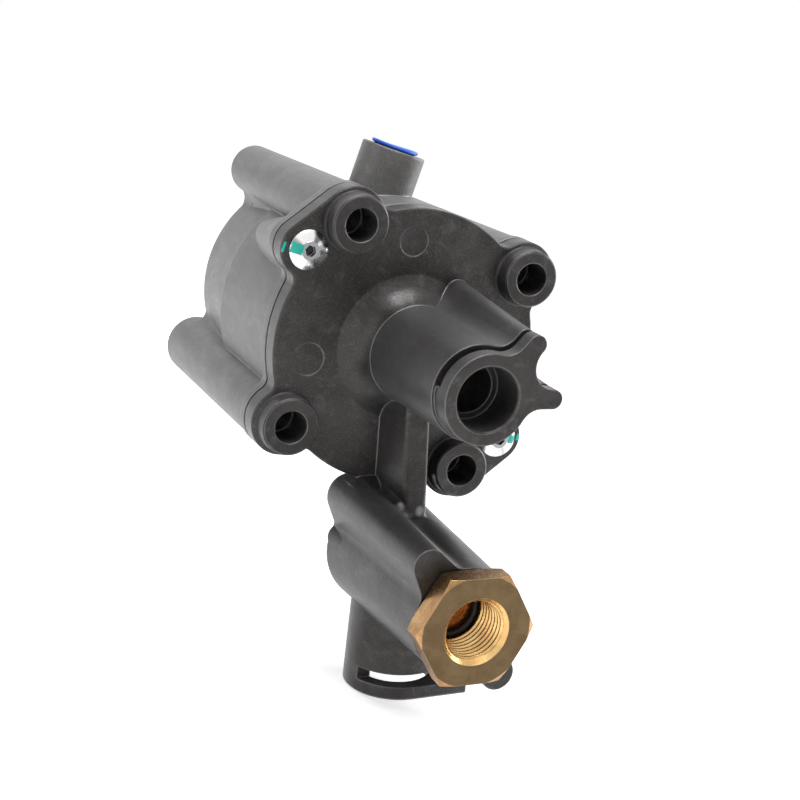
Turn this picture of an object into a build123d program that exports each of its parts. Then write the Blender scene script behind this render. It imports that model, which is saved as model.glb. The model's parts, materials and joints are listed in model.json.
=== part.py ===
from build123d import *
import math
import os

# Gearbox inhibitor valve: a die-cast air valve held to a gearbox by four long
# bolts. +Z is up and -Y looks out of the cover, towards the air ports. The
# origin lies on the cylinder axis, in the plane of the four bolt faces.

# Bolts that hold the valve
bolt_span_x = 50.0
bolt_span_z = 52.5
bolt_hole_d = 8.4
boss_d = 14.7
boss_base_d = 15.0
boss_height = 4.5
boss_edge = 0.4
boss_root_round = 0.5
lobe_r = 8.7

# Front cover
cover_r = 35.6
cover_thickness = 5.1
cover_edge = 0.6
cover_web_round = 3.0
lug_r = 7.0
lug_x = 34.3
lug_z = 16.4
eject_marks = [(-7.9, 26.1, 3.8), (-24.7, -9.5, 4.2)]
eject_mark_depth = 0.15

# Cover screws
screw_d = 5.0
screw_flange_d = 10.0
screw_flange_t = 0.6
screw_button_d = 4.6
screw_button_t = 1.3
screw_collar_t = 0.3
screw_dome_r = 5.0
screw_tip = 0.6
screw_key = 2.6
screw_key_depth = 1.4
screw_length = 18.0
screw_clear = 0.15

# Gasket
gasket_thickness = 1.2
gasket_inset = 2.0
gasket_hole_clear = 0.5

# Rear housing
housing_length = 69.3
column_proud = 3.3
drum_front_r = 35.4
drum_step_back = 37.2
drum_step_draft = 0.5
drum_step_r = 34.0
drum_rear_r = 31.0
drum_rear_round = 2.2
housing_rim = 2.5
web_inset = 0.1
web_reach = 6.0
web_narrowing = 0.9
web_round = 2.8
screw_thread_depth = 16.0
column_front_r = 8.35
column_top_rear_r = 6.7
column_low_rear_r = 8.1
column_edge = 0.8
lug_boss_length = 42.2
lug_boss_rear_reach = 27.8
lug_boss_rear_r = 5.2
cylinder_d = 50.0
rear_wall = 14.0
spigot_recess_d = 34.0
spigot_recess_depth = 2.5

# Pilot port on top
pilot_x = -8.7
pilot_y = 31.5
pilot_d = 16.9
pilot_top = 45.3
pilot_edge = 0.5
pilot_hole_d = 10.4
pilot_hole_depth = 13.0
pilot_passage_d = 5.0
pilot_wall = 2.0
plug_flange_d = 12.6
plug_flange_t = 1.0
plug_length = 8.0
plug_wall = 1.1
plug_edge = 0.3
plug_lead = 1.0
plug_draft = 0.4

# Barrel with the delivery bore
barrel_length = 42.0
barrel_base_r = 12.6
barrel_front_r = 11.8
barrel_root = 6.2
barrel_root_round = 9.0
flange_r = 11.0
flange_thickness = 3.8
ear_reach = 17.1
ear_base_reach = 19.2
ear_r = 2.35
ear_base_r = 3.1
ear_angle = 39.4
ear_spread = 25.0
ear_hollow = 1.6
ear_outer_round = 5.0
slot_width = 2.0
slot_floor_r = 9.6
slot_from = -25.0
slot_to = 185.0
delivery_d = 15.6
delivery_depth = 10.7
delivery_seat_d = 12.2
delivery_edge = 0.4

# Arm with the supply tube and the exhaust collar
arm_angle = 16.7
tube_gap = 4.4
neck_start = 5.0
neck_left = 3.2
neck_right = 3.1
neck_left_draft = 2.7
neck_right_draft = 0.6
neck_top_y = -5.5
neck_low_y = -9.5
neck_edge = 1.2
tube_front_y = -40.3
tube_length = 52.9
tube_front_r = 13.7
tube_rear_r = 15.6
tube_rear_round = 2.5
tube_core_share = 0.6
tube_pad_angle = 179.0
tube_pad_reach = 12.8
tube_pad_r = 3.5
tube_pad_length = 12.0
tube_lug_reach = 18.1
tube_lug_r = 4.3
tube_lug_angle = 141.3
tube_lug_round = 4.0
collar_y = -2.8
collar_reach = 32.5
collar_top_r = 11.9
collar_rim_r = 13.1
collar_edge = 0.6
collar_bore_d = 19.0
collar_bore_depth = 7.4
exhaust_bore_d = 18.0
exhaust_bore_depth = 9.2
collar_slot_height = 3.4
collar_slot_above_rim = 3.7
collar_slot_offset = 4.2
collar_tab_reach = 15.0
collar_tab_width = 5.5

# Shoulder that fills the corner between the neck, the plate and the tube's upper
# lug. Its crest, at places ahead of the plate's back, as three points: each lies
# this far right of the arm's middle and this far above the tube's axis.
shoulder_crests = [
    (0.0, [(-13.2, 20.2), (-10.2, 22.0), (-3.0, 22.0)]),
    (5.6, [(-13.2, 20.2), (-10.2, 22.0), (-3.0, 22.0)]),
    (11.5, [(-12.3, 20.0), (-10.0, 20.6), (-3.3, 16.4)]),
    (19.0, [(-11.6, 19.9), (-9.8, 20.1), (-3.5, 14.2)]),
    (49.5, [(-11.4, 18.8), (-9.8, 19.0), (-6.3, 15.4)]),
]
shoulder_foot = 5.6
neck_foot_round = 1.5
neck_foot_band = 1.8
neck_foot_back_y = -0.95

# Passages cast in the cover
passage_d = 3.6
supply_passage_y = -2.8
exhaust_passage_y = 3.0

# Brass supply adapter, M16 x 1.5 inside, hexagon of 27 across flats
hex_across = 27.0
hex_height = 6.0
hex_turn = 15.8
hex_chamfer = 1.7
hex_chamfer_height = 1.4
adapter_thread_d = 14.6
adapter_relief_d = 15.4
adapter_mouth_d = 17.2
adapter_spigot_d = 20.0
adapter_spigot_length = 16.0
adapter_lip_d = 11.0
adapter_lip = 3.0
adapter_seal_t = 0.6
adapter_seal_r = 12.4
port_seal_wire = 2.0
filter_thickness = 4.0

# Non-return valve in the supply tube
chamber_d = 17.0
chamber_rear_y = -0.8
seat_length = 4.0
seat_bore_d = 9.0
poppet_d = 13.0
poppet_head = 3.0
poppet_face = 1.0
poppet_wing = 1.6
poppet_wing_length = 3.0
poppet_pilot = 2.0

# Exhaust valve in the collar
disc_clear = 1.0
disc_thickness = 2.2
retainer_t = 1.2
retainer_gap = 4.2
retainer_groove = 0.8
retainer_holes = 6
retainer_hole_d = 3.0
retainer_hole_inset = 2.5

# Spool, sleeve and piston
hub_d = 30.0
cover_spigot = 3.0
spigot_clearance = 0.05
sleeve_d = 18.0
sleeve_bore_d = 10.0
sleeve_front_y = -8.0
sleeve_port_d = 3.0
sleeve_ring_wire = 1.5
sleeve_ring_groove = 1.8
sleeve_end_seal = 1.8
sleeve_rear_seal = 5.0
sleeve_shoulder = 1.5
ring_t = 1.2
ring_groove = 0.9
ring_inset = 1.6
spool_clearance = 0.06
spool_lead = 3.4
spool_land = 6.6
spool_waist = 7.6
spool_waist_d = 6.6
spool_hole_d = 3.6
piston_thickness = 14.0
piston_clearance = 0.1
piston_gap = 0.3
piston_seal_width = 3.2
piston_seal_depth = 2.6
piston_groove_inset = 4.0
guide_band_width = 4.0
guide_band_depth = 1.2
stud_d = 6.0
stud_thread = 9.0
spring_pocket = 7.0
spring_room = 14.7
plunger_d = 12.0
plunger_proud = 0.5
plunger_edge = 1.0
bush_d = 16.0
bush_length = 8.0
fit = 0.03
running_fit = 0.05
free_gap = 0.3
overlap = 1.0
tiny = 0.01

# Springs
return_spring_d = 32.0
return_spring_wire = 2.4
return_spring_turns = 4
poppet_spring_d = 9.4
poppet_spring_wire = 1.1
poppet_spring_turns = 5
exhaust_spring_d = 9.0
exhaust_spring_wire = 0.6
exhaust_spring_turns = 3

# Places that follow from the sizes above
cover_front_y = boss_height
cover_rear_y = cover_front_y + cover_thickness
housing_front_y = cover_rear_y + gasket_thickness
drum_length = housing_length - column_proud
drum_rear_y = housing_front_y + drum_length
drum_step_y = housing_front_y + drum_step_back
cylinder_rear_y = drum_rear_y - rear_wall
piston_rear_y = cylinder_rear_y - spring_room
piston_front_y = piston_rear_y - piston_thickness
hub_rear_y = piston_front_y - piston_gap
recess_y = drum_rear_y - spigot_recess_depth
arm_reach = cover_r + tube_gap + tube_rear_r
arm_sin = math.sin(math.radians(arm_angle))
arm_cos = math.cos(math.radians(arm_angle))
tube_x = arm_reach * arm_sin
tube_z = -arm_reach * arm_cos
tube_rear_y = tube_front_y + tube_length
hex_rear_y = tube_front_y - adapter_seal_t
hex_corner_r = hex_across / math.sqrt(3)
hex_front_y = hex_rear_y - hex_height
adapter_rear_y = tube_front_y + adapter_spigot_length
chamber_front_y = adapter_rear_y + free_gap
lip_y = adapter_rear_y - adapter_lip
filter_front_y = lip_y - filter_thickness
relief_y = filter_front_y - port_seal_wire - free_gap
seat_rear_y = chamber_front_y + seat_length
poppet_y = seat_rear_y + running_fit + poppet_face
poppet_back_y = poppet_y + poppet_head
collar_step = collar_reach - collar_bore_depth
collar_seat = collar_step - exhaust_bore_depth
disc_r = exhaust_bore_d / 2 - disc_clear
disc_under = collar_seat + free_gap + disc_thickness
retainer_at = disc_under + retainer_gap
ring_y = hub_rear_y - ring_t - sleeve_shoulder
sleeve_rear_y = ring_y
spool_d = sleeve_bore_d - spool_clearance
sleeve_seal_places = [
    sleeve_front_y + sleeve_end_seal,
    (supply_passage_y + exhaust_passage_y) / 2,
    exhaust_passage_y + sleeve_rear_seal,
]
spool_front_y = supply_passage_y - spool_lead
spool_waist_y = spool_front_y + spool_land + spool_waist / 2
piston_r = cylinder_d / 2 - piston_clearance
piston_seal_y = piston_front_y + piston_groove_inset
guide_band_y = piston_rear_y - piston_groove_inset
spring_seat_y = piston_rear_y - spring_pocket
plunger_rear_y = drum_rear_y + plunger_proud
bolts = [
    (sx * bolt_span_x / 2, sz * bolt_span_z / 2) for sx in (-1, 1) for sz in (-1, 1)
]
screws = [(-lug_x, lug_z), (lug_x, -lug_z)]


def face_plane(y):
    """Plane across the cylinder axis at y, seen from the front: X right, Z up."""
    return Plane.XZ.offset(-y)


def tube_plane(y):
    """The same plane, with its origin on the axis of the supply tube."""
    return Plane(origin=(tube_x, y, tube_z), x_dir=(1, 0, 0), z_dir=(0, -1, 0))


def arm_section(down, y=0.0):
    """Plane across the arm, `down` from the cylinder axis: local X is to the right."""
    return Plane(
        origin=(down * arm_sin, y, -down * arm_cos),
        x_dir=(arm_cos, 0, arm_sin),
        z_dir=(arm_sin, 0, -arm_cos),
    )


def arm_front(y):
    """Plane facing the viewer at y: local X is right across the arm, local Y is up it."""
    return Plane(origin=(0, y, 0), x_dir=(arm_cos, 0, arm_sin), z_dir=(0, -1, 0))


def at_neck_foot(point):
    """Whether a point lies where the neck's front or right side meets the tube."""
    right = point.X * arm_cos + point.Z * arm_sin
    down = point.X * arm_sin - point.Z * arm_cos
    across = -neck_left < right < neck_right + neck_right_draft
    near = abs(down - arm_reach + tube_rear_r) < neck_foot_band
    return across and near and neck_low_y < point.Y < neck_foot_back_y


# Plane along the arm's middle, facing right: local X is +Y, local Y is up the arm
arm_side = Plane(origin=(0, 0, 0), x_dir=(0, 1, 0), z_dir=(arm_cos, 0, arm_sin))
main_axis = Axis((0, 0, 0), (0, 1, 0))
main_profile = Plane(origin=(0, 0, 0), x_dir=(1, 0, 0), z_dir=(0, 0, 1))
tube_axis = Axis((tube_x, 0, tube_z), (0, 1, 0))
tube_profile = Plane(origin=(tube_x, 0, tube_z), x_dir=(1, 0, 0), z_dir=(0, 0, 1))
collar_origin = (tube_x, collar_y, tube_z)
collar_axis = Axis(collar_origin, (arm_sin, 0, -arm_cos))
collar_profile = Plane(origin=collar_origin, x_dir=(0, 1, 0), z_dir=(-arm_cos, 0, -arm_sin))


def band(inner_r, outer_r, start, end):
    """Half section of a ring: inner_r to outer_r, start to end along the axis."""
    with BuildSketch() as section:
        with Locations(((inner_r + outer_r) / 2, (start + end) / 2)):
            Rectangle(outer_r - inner_r, end - start)
    return section.sketch


def sector(radius, start, end):
    """Wedge from the start to the end angle, as wide as the radius or wider."""
    widest_step = 30
    steps = math.ceil((end - start) / widest_step)
    rays = [math.radians(start + (end - start) * i / steps) for i in range(steps + 1)]
    reach = radius / math.cos(math.radians(widest_step / 2))
    with BuildSketch() as wedge:
        with BuildLine():
            rim = [(reach * math.cos(a), reach * math.sin(a)) for a in rays]
            Polyline((0, 0), *rim, close=True)
        make_face()
    return wedge.sketch


def corners_at(sketch, radius):
    """Corners of a sketch that lie on a circle about its origin."""
    return [v for v in sketch.vertices() if abs(math.hypot(v.X, v.Y) - radius) < tiny]


def lug_pad(first, second, first_r, second_r):
    """Area round two circles, with straight sides between them."""
    with BuildSketch() as pad:
        with Locations(first):
            Circle(first_r)
        with Locations(second):
            Circle(second_r)
        make_hull()
    return pad.sketch


nearest_bolts = [
    min(bolts, key=lambda bolt: math.dist(bolt, screw)) for screw in screws
]


def cover_outline(inset=0.0):
    """Outline shared by the cover, the gasket and the front of the housing."""
    with BuildSketch() as outline:
        Circle(cover_r - inset)
        with Locations(*bolts):
            Circle(lobe_r - inset)
        for screw, bolt in zip(screws, nearest_bolts):
            add(lug_pad(screw, bolt, lug_r - inset, lobe_r - inset))
        fillet(corners_at(outline, cover_r - inset), cover_web_round)
    return outline.sketch


def ear_outline(core_r, small_r, reach):
    """Round flange with two rounded ears on its right side and a hollow between them."""
    middle, spread = math.radians(ear_angle), math.radians(ear_spread)
    tips = [
        (reach * math.cos(middle + side * spread), reach * math.sin(middle + side * spread))
        for side in (-1, 1)
    ]
    hollow_at = reach + ear_hollow
    hollow = (hollow_at * math.cos(middle), hollow_at * math.sin(middle))
    with BuildSketch() as outline:
        Circle(core_r)
        with BuildLine():
            Polyline((0, 0), tips[0], hollow, tips[1], close=True)
        make_face()
        with Locations(hollow):
            Circle(math.dist(hollow, tips[0]) - small_r, mode=Mode.SUBTRACT)
        for tip in tips:
            add(lug_pad((0, 0), tip, small_r, small_r))
        fillet(corners_at(outline, core_r), ear_outer_round)
    return outline.sketch


def tube_outline():
    """Front of the supply tube, with a lug on each side."""
    with BuildSketch() as outline:
        Circle(tube_front_r)
        for side in (0, 180):
            angle = math.radians(tube_lug_angle + side)
            lug = (tube_lug_reach * math.cos(angle), tube_lug_reach * math.sin(angle))
            add(lug_pad((0, 0), lug, tube_front_r * tube_core_share, tube_lug_r))
        fillet(corners_at(outline, tube_front_r), tube_lug_round)
    return outline.sketch


def web_outline(pair, core_r):
    """Two columns joined to a round core by webs that narrow towards it."""
    web_inner_r = column_front_r - web_inset - web_narrowing
    with BuildSketch() as outline:
        Circle(core_r)
        for x, z in pair:
            inner = 1 - web_reach / math.hypot(x, z)
            add(lug_pad((x, z), (x * inner, z * inner), column_front_r - web_inset, web_inner_r))
        fillet(corners_at(outline, core_r), web_round)
    return outline.sketch


def draft_angle(front_r, rear_r, length):
    """Taper in degrees that takes a radius from front_r to rear_r."""
    return math.degrees(math.atan((front_r - rear_r) / length))


def spring(name, axis, start, end, mean_d, wire_d, turns):
    """Coil spring between two seats on an axis, with its wire just clear of both."""
    travel = end - start - wire_d - 2 * fit
    base = axis.position + axis.direction * (start + fit + wire_d / 2)
    with BuildPart() as coil:
        with BuildLine() as wire:
            Helix(travel / turns, travel, mean_d / 2, center=base, direction=axis.direction)
        with BuildSketch(Plane(origin=wire.line @ 0, z_dir=wire.line % 0)):
            Circle(wire_d / 2)
        sweep(is_frenet=True)
    coil.part.label = name
    return coil


# Front cover: plate, bolt bosses, barrel, arm, supply tube and exhaust collar
outline = cover_outline()
with BuildPart() as front_cover:
    with BuildSketch(face_plane(cover_rear_y)):
        add(outline)
    extrude(amount=cover_thickness)
    plate_edge = front_cover.faces().sort_by(Axis.Y)[0].outer_wire().edges()
    fillet(plate_edge, cover_edge)
    # Bolt bosses, rounded at the foot and eased at the rim
    boss_rim = boss_d / 2
    boss_foot = boss_base_d / 2
    for x, z in bolts:
        with BuildSketch(Plane(origin=(x, 0, z), x_dir=(1, 0, 0), z_dir=(0, 0, 1))):
            with BuildLine():
                Polyline(
                    (boss_foot + boss_root_round, cover_front_y),
                    (0, cover_front_y),
                    (0, 0),
                    (boss_rim - boss_edge, 0),
                    (boss_rim, boss_edge),
                    (boss_foot, boss_height - boss_root_round),
                )
                RadiusArc(
                    (boss_foot, boss_height - boss_root_round),
                    (boss_foot + boss_root_round, cover_front_y),
                    boss_root_round,
                )
            make_face()
        revolve(axis=Axis((x, 0, z), (0, 1, 0)))
    # Marks of the ejector pins
    for x, z, mark_r in eject_marks:
        with BuildSketch(face_plane(cover_front_y)):
            with Locations((x, z)):
                Circle(mark_r)
        extrude(amount=-eject_mark_depth, mode=Mode.SUBTRACT)
    # Barrel, cast with a draft, its ears standing further out at the plate
    with BuildSketch(face_plane(cover_front_y)):
        add(ear_outline(barrel_base_r, ear_base_r, ear_base_reach))
    with BuildSketch(face_plane(flange_thickness + slot_width - barrel_length)):
        add(ear_outline(barrel_front_r, ear_r, ear_reach))
    loft(ruled=True)
    with BuildSketch(face_plane(-barrel_length)):
        add(ear_outline(flange_r, ear_r, ear_reach))
    extrude(amount=-flange_thickness - slot_width)
    # Round at the foot of the barrel
    with BuildSketch(main_profile):
        with BuildLine():
            foot = barrel_base_r + barrel_root
            top = cover_front_y - barrel_root
            core = barrel_front_r - overlap
            Polyline(
                (core, top),
                (core, cover_front_y + overlap),
                (foot, cover_front_y + overlap),
                (foot, cover_front_y),
            )
            RadiusArc((foot, cover_front_y), (barrel_base_r, top), -barrel_root_round)
            Line((barrel_base_r, top), (core, top))
        make_face()
    revolve(axis=main_axis)
    # Neck between the barrel and the supply tube, with a steep right side
    for down, front in (
        (neck_start, neck_top_y),
        (arm_reach - tube_front_r / 2, neck_low_y),
    ):
        with BuildSketch(arm_section(down)) as section:
            with BuildLine():
                Polyline(
                    (-neck_left - neck_left_draft, -cover_rear_y),
                    (-neck_left - neck_left_draft, -cover_front_y),
                    (-neck_left, -front),
                    (neck_right, -front),
                    (neck_right + neck_right_draft, -cover_front_y),
                    (neck_right + neck_right_draft, -cover_rear_y),
                    close=True,
                )
            make_face()
            fillet([v for v in section.vertices() if v.Y > -front - tiny], neck_edge)
    loft()
    # Supply tube, rounded at its rear end, with a small pad on its left
    with BuildSketch(tube_plane(tube_front_y)):
        add(tube_outline())
    tube_taper = draft_angle(tube_rear_r, tube_front_r, tube_length)
    extrude(amount=-tube_length, taper=-tube_taper)
    fillet(front_cover.faces().sort_by(Axis.Y)[-1].outer_wire().edges(), tube_rear_round)
    with BuildSketch(tube_plane(tube_rear_y - tube_rear_round)):
        with PolarLocations(tube_pad_reach, 1, start_angle=tube_pad_angle):
            Circle(tube_pad_r)
    extrude(amount=tube_pad_length, taper=draft_angle(tube_pad_r, tube_pad_r / 2, tube_pad_length))
    # Shoulder beside the neck, faired into the upper lug
    for ahead, crest in shoulder_crests:
        with BuildSketch(arm_front(cover_rear_y - ahead)):
            with BuildLine():
                Polyline(
                    *[(right, above - arm_reach) for right, above in crest],
                    (crest[-1][0], shoulder_foot - arm_reach),
                    (crest[0][0], shoulder_foot - arm_reach),
                    close=True,
                )
            make_face()
    loft(ruled=True)
    # Blend where the front and the right side of the neck meet the tube
    neck_foot = [edge for edge in front_cover.edges() if at_neck_foot(edge @ 0.5)]
    fillet(neck_foot, neck_foot_round)
    # Exhaust collar
    with BuildSketch(collar_profile):
        with BuildLine():
            Polyline(
                (0, 0),
                (collar_top_r, 0),
                (collar_rim_r, collar_reach - collar_edge),
                (collar_rim_r - collar_edge, collar_reach),
                (0, collar_reach),
                close=True,
            )
        make_face()
    revolve(axis=collar_axis)
    # Tab that carries the rim's front on to the right
    tab_front = collar_y - collar_rim_r
    tab_top = collar_slot_above_rim - arm_reach - collar_reach
    tab_low = -arm_reach - collar_reach
    with BuildSketch(arm_side):
        with BuildLine():
            Polyline(
                (tab_front, tab_top),
                (tab_front, tab_low + collar_edge),
                (tab_front + collar_edge, tab_low),
                (tab_front + collar_tab_width, tab_low),
                (tab_front + collar_tab_width, tab_top),
                close=True,
            )
        make_face()
    extrude(amount=collar_tab_reach)
    # Hub that holds the valve sleeve, and the spigot that centres the cover
    with BuildSketch(face_plane(cover_rear_y)):
        Circle(hub_d / 2)
    extrude(amount=cover_rear_y - hub_rear_y)
    with BuildSketch(face_plane(cover_rear_y)):
        Circle(cylinder_d / 2 - spigot_clearance)
    extrude(amount=-gasket_thickness - cover_spigot)
    # Bores on the cylinder axis
    with BuildSketch(main_profile):
        with BuildLine():
            Polyline(
                (0, hub_rear_y),
                (sleeve_d / 2, hub_rear_y),
                (sleeve_d / 2, sleeve_front_y),
                (delivery_seat_d / 2, sleeve_front_y),
                (delivery_seat_d / 2, delivery_depth - barrel_length),
                (delivery_d / 2, delivery_depth - barrel_length),
                (delivery_d / 2, delivery_edge - barrel_length),
                (delivery_d / 2 + delivery_edge, -barrel_length),
                (0, -barrel_length),
                close=True,
            )
        make_face()
    revolve(axis=main_axis, mode=Mode.SUBTRACT)
    with BuildSketch(main_profile):
        add(band(sleeve_d / 2 - overlap, sleeve_d / 2 + ring_groove, ring_y, ring_y + ring_t))
    revolve(axis=main_axis, mode=Mode.SUBTRACT)
    # Slot behind the flange
    with BuildSketch(face_plane(flange_thickness - barrel_length)):
        add(sector(ear_reach + 4 * ear_r, slot_from, slot_to))
        Circle(slot_floor_r, mode=Mode.SUBTRACT)
    extrude(amount=-slot_width, mode=Mode.SUBTRACT)
    # Bolt holes and screw holes
    with BuildSketch(face_plane(0)):
        with Locations(*bolts):
            Circle(bolt_hole_d / 2)
        with Locations(*screws):
            Circle(screw_d / 2 + screw_clear)
    extrude(amount=-cover_rear_y, mode=Mode.SUBTRACT)
    # Supply tube: thread for the adapter, then the valve chamber
    with BuildSketch(tube_profile):
        add(band(0, adapter_spigot_d / 2, tube_front_y, chamber_front_y))
        add(band(0, chamber_d / 2, chamber_front_y, chamber_rear_y))
    revolve(axis=tube_axis, mode=Mode.SUBTRACT)
    # Passages down the arm
    for place, depth in (
        (supply_passage_y, arm_reach),
        (exhaust_passage_y, arm_reach + collar_seat),
    ):
        with BuildSketch(arm_section(0)):
            with Locations((0, -place)):
                Circle(passage_d / 2)
        extrude(amount=depth, mode=Mode.SUBTRACT)
    # Bore of the exhaust valve, with the groove of its retainer, and the wider mouth
    with BuildSketch(collar_profile):
        add(band(0, exhaust_bore_d / 2, collar_seat, collar_step))
        add(band(0, collar_bore_d / 2, collar_step, collar_reach))
        add(band(0, exhaust_bore_d / 2 + retainer_groove, retainer_at, retainer_at + retainer_t))
    revolve(axis=collar_axis, mode=Mode.SUBTRACT)
    # Clip slot sawn across the front of the collar
    with BuildSketch(arm_section(arm_reach + collar_reach - collar_slot_above_rim)):
        with Locations((0, collar_slot_offset - collar_y)):
            Rectangle(4 * collar_rim_r, collar_rim_r, align=(Align.CENTER, Align.MIN))
    extrude(amount=-collar_slot_height, mode=Mode.SUBTRACT)
front_cover.part.label = "front_cover"

# Gasket
with BuildPart() as cover_gasket:
    with BuildSketch(face_plane(housing_front_y)):
        add(cover_outline(gasket_inset))
        Circle(cylinder_d / 2 + gasket_inset, mode=Mode.SUBTRACT)
        with Locations(*bolts):
            Circle(bolt_hole_d / 2 + gasket_hole_clear, mode=Mode.SUBTRACT)
        with Locations(*screws):
            Circle(screw_d / 2 + gasket_hole_clear, mode=Mode.SUBTRACT)
    extrude(amount=gasket_thickness)
cover_gasket.part.label = "cover_gasket"

# Rear housing: drum, four bolt columns, screw lugs and pilot port
with BuildPart() as rear_housing:
    with BuildSketch(main_profile):
        with BuildLine():
            rim = (drum_rear_r, drum_rear_y - drum_rear_round)
            shoulder = (drum_rear_r - drum_rear_round, drum_rear_y)
            Polyline(
                shoulder,
                (0, drum_rear_y),
                (0, housing_front_y),
                (drum_front_r, housing_front_y),
                (drum_front_r - drum_step_draft, drum_step_y),
                (drum_step_r, drum_step_y),
                rim,
            )
            RadiusArc(rim, shoulder, -drum_rear_round)
        make_face()
    revolve(axis=main_axis)
    # Columns, with webs that join them to the drum
    web_length = drum_length - drum_rear_round
    for side, rear_r in ((1, column_top_rear_r), (-1, column_low_rear_r)):
        pair = [bolt for bolt in bolts if bolt[1] * side > 0]
        taper = draft_angle(column_front_r, rear_r, housing_length)
        core_r = drum_rear_r + web_length * math.tan(math.radians(taper))
        with BuildSketch(face_plane(housing_front_y)):
            add(web_outline(pair, core_r))
        extrude(amount=-web_length, taper=taper)
        with BuildSketch(face_plane(housing_front_y)):
            with Locations(*pair):
                Circle(column_front_r)
        extrude(amount=-housing_length, taper=taper)
    fillet(rear_housing.faces().sort_by(Axis.Y)[-4:].edges(), column_edge)
    # Lugs that take the cover screws, running back into the drum at its step
    for x, z in screws:
        inner = lug_boss_rear_reach / math.hypot(x, z)
        with BuildSketch(face_plane(housing_front_y)):
            with Locations((x, z)):
                Circle(lug_r)
        with BuildSketch(face_plane(housing_front_y + lug_boss_length)):
            with Locations((x * inner, z * inner)):
                Circle(lug_boss_rear_r)
        loft()
    with BuildSketch(face_plane(housing_front_y)):
        add(outline)
    extrude(amount=-housing_rim)
    # Pilot port
    with BuildSketch(Plane.XY.offset(pilot_top)):
        with Locations((pilot_x, pilot_y)):
            Circle(pilot_d / 2)
    extrude(amount=cylinder_d / 2 + pilot_wall - pilot_top)
    fillet(rear_housing.faces().sort_by(Axis.Z)[-1].outer_wire().edges(), pilot_edge)
    with BuildSketch(Plane.XY.offset(pilot_top)):
        with Locations((pilot_x, pilot_y)):
            Circle(pilot_hole_d / 2)
    extrude(amount=-pilot_hole_depth, mode=Mode.SUBTRACT)
    with BuildSketch(Plane.XY.offset(pilot_top)):
        with Locations((pilot_x, pilot_y)):
            Circle(pilot_passage_d / 2)
    extrude(amount=-pilot_top, mode=Mode.SUBTRACT)
    # Cylinder, bore for the plunger's bush and recess at the back
    with BuildSketch(main_profile):
        add(band(0, cylinder_d / 2, housing_front_y, cylinder_rear_y))
        add(band(0, bush_d / 2, cylinder_rear_y, drum_rear_y))
        add(band(0, spigot_recess_d / 2, recess_y, drum_rear_y))
    revolve(axis=main_axis, mode=Mode.SUBTRACT)
    with BuildSketch(face_plane(housing_front_y)):
        with Locations(*bolts):
            Circle(bolt_hole_d / 2)
    extrude(amount=-housing_length, mode=Mode.SUBTRACT)
    with BuildSketch(face_plane(housing_front_y)):
        with Locations(*screws):
            Circle(screw_d / 2 + fit)
    extrude(amount=-screw_thread_depth, mode=Mode.SUBTRACT)
rear_housing.part.label = "rear_housing"

# Cover screws, one node of two
with BuildPart() as cover_screws:
    for x, z in screws:
        seat = Plane(origin=(x, cover_front_y, z), x_dir=(1, 0, 0), z_dir=(0, 0, 1))
        with BuildSketch(seat):
            with BuildLine():
                dome = screw_flange_t + screw_button_t - screw_collar_t
                Polyline(
                    (0, screw_length),
                    (screw_d / 2 - screw_tip, screw_length),
                    (screw_d / 2, screw_length - screw_tip),
                    (screw_d / 2, 0),
                    (screw_flange_d / 2, 0),
                    (screw_flange_d / 2, -screw_flange_t),
                )
                RadiusArc(
                    (screw_flange_d / 2, -screw_flange_t), (screw_button_d / 2, -dome), screw_dome_r
                )
                Polyline(
                    (screw_button_d / 2, -dome),
                    (screw_button_d / 2, -dome - screw_collar_t),
                    (0, -dome - screw_collar_t),
                    (0, screw_length),
                )
            make_face()
        revolve(axis=Axis((x, 0, z), (0, 1, 0)))
        with BuildSketch(face_plane(cover_front_y - dome - screw_collar_t)):
            with Locations((x, z)):
                RegularPolygon(screw_key / math.sqrt(3), 6)
        extrude(amount=-screw_key_depth, mode=Mode.SUBTRACT)
cover_screws.part.label = "cover_screws"

# Blue plug pressed into the pilot port
with BuildPart() as port_plug:
    with BuildSketch(Plane(origin=(pilot_x, pilot_y, pilot_top), x_dir=(1, 0, 0), z_dir=(0, -1, 0))):
        with BuildLine():
            plug_r = pilot_hole_d / 2 - fit
            Polyline(
                (0, plug_flange_t),
                (plug_flange_d / 2 - plug_edge, plug_flange_t),
                (plug_flange_d / 2, plug_flange_t - plug_edge),
                (plug_flange_d / 2, 0),
                (plug_r, 0),
                (plug_r, plug_lead - plug_length),
                (plug_r - plug_wall + plug_draft, -plug_length),
                (plug_r - plug_wall - plug_draft, -plug_length),
                (plug_r - plug_wall, -plug_wall),
                (0, -plug_wall),
                close=True,
            )
        make_face()
    revolve(axis=Axis((pilot_x, pilot_y, 0), (0, 0, 1)))
port_plug.part.label = "port_plug"

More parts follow.
